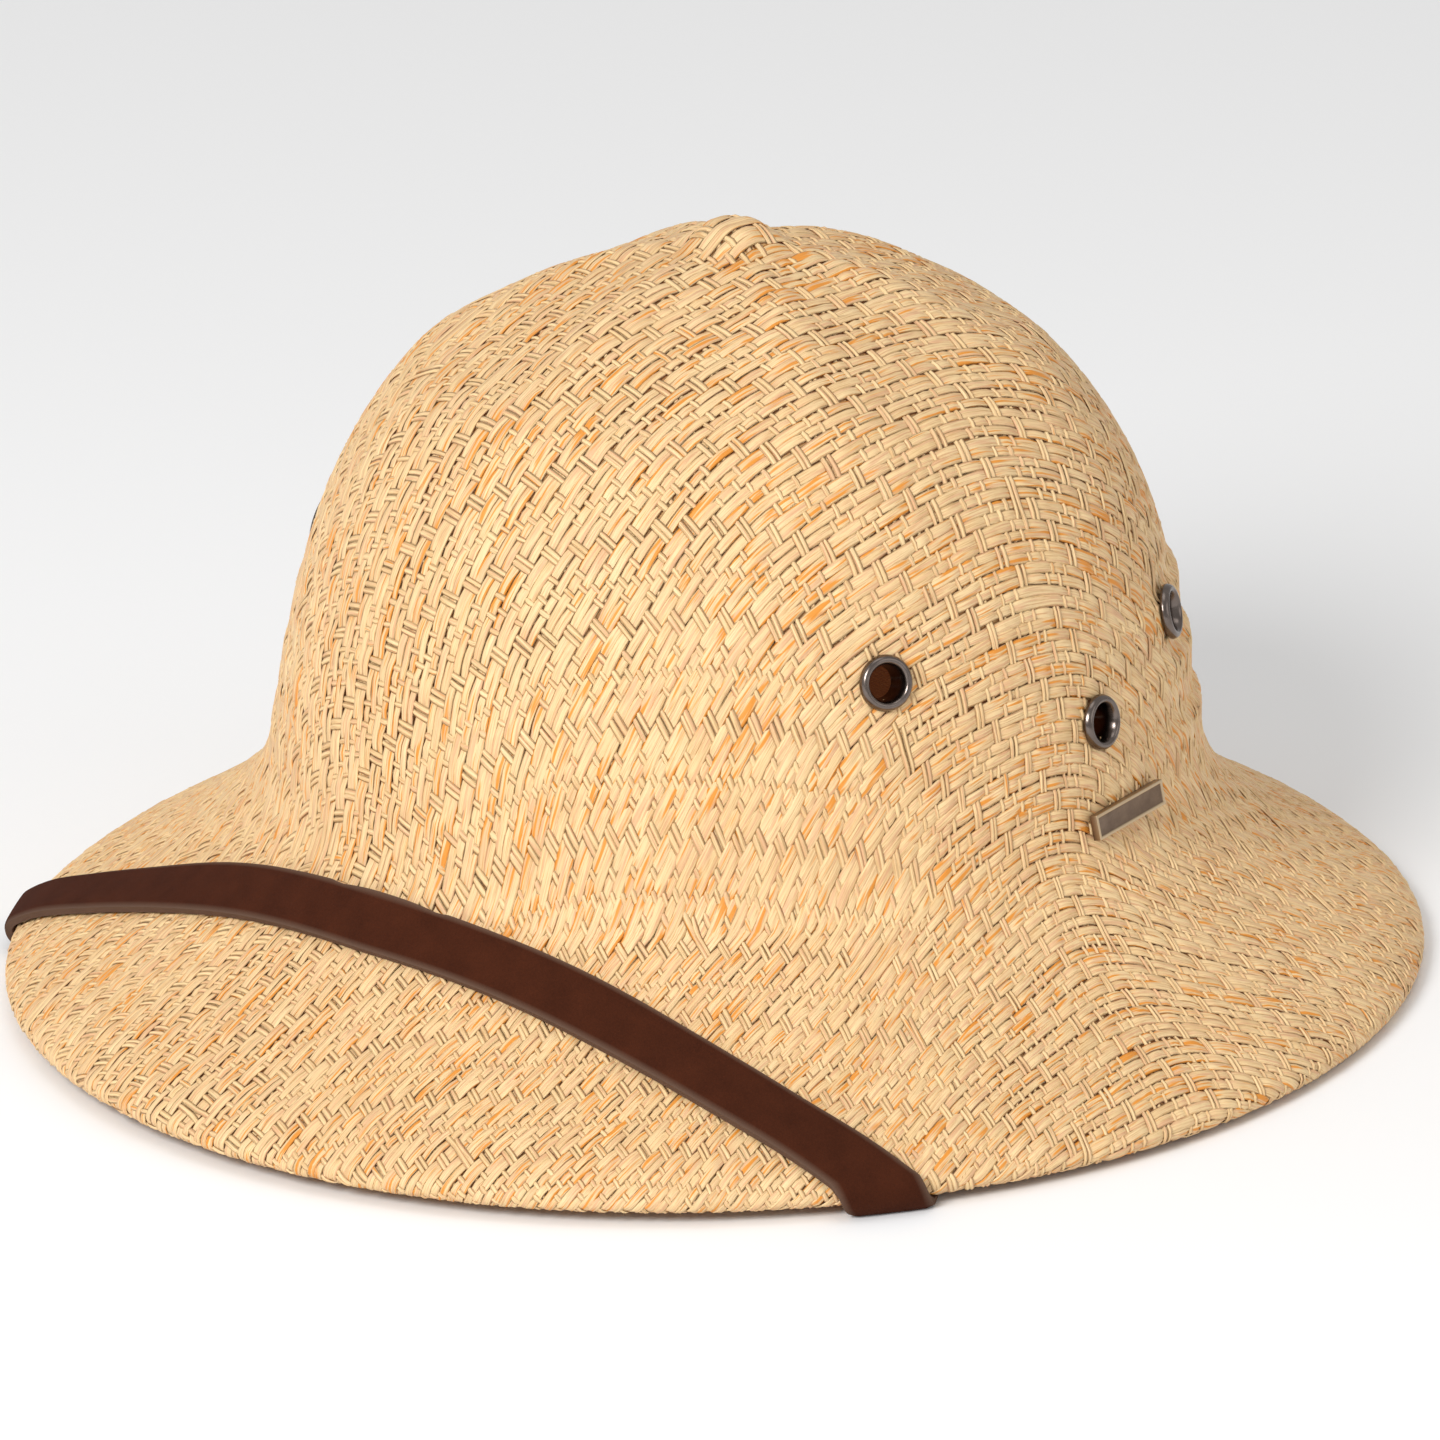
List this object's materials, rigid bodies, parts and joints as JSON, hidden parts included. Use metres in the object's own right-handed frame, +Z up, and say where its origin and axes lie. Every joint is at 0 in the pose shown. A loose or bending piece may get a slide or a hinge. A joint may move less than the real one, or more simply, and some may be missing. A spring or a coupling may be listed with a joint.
{
  "type": "straw pith helmet",
  "caption": "Woven straw pith helmet with a domed ridged crown, a sloping brim with a turned hem, metal vent eyelets, a plain brass bar and a suede chin strap over the front brim.",
  "frame": {"origin": "middle of the hat's footprint on the surface that it stands on", "axes": "+Z up, the front of the hat at -Y, the wearer's left at +X"},
  "size_m": [0.2848, 0.3065, 0.1606],
  "materials": {
    "straw": "woven natural straw, matt with a faint sheen",
    "suede": "dark brown suede",
    "antique_brass": "aged, brushed",
    "gunmetal": "polished dark plating"
  },
  "bodies": {
    "root": {"helmet_shell": "straw", "chin_strap": "suede", "badge_bar": "antique_brass", "strap_rivet_left": "gunmetal", "strap_rivet_right": "gunmetal", "vent_eyelet_left_1": "gunmetal", "vent_eyelet_left_2": "gunmetal", "vent_eyelet_left_3": "gunmetal", "vent_eyelet_right_1": "gunmetal", "vent_eyelet_right_2": "gunmetal", "vent_eyelet_right_3": "gunmetal"}
  },
  "joints": []
}
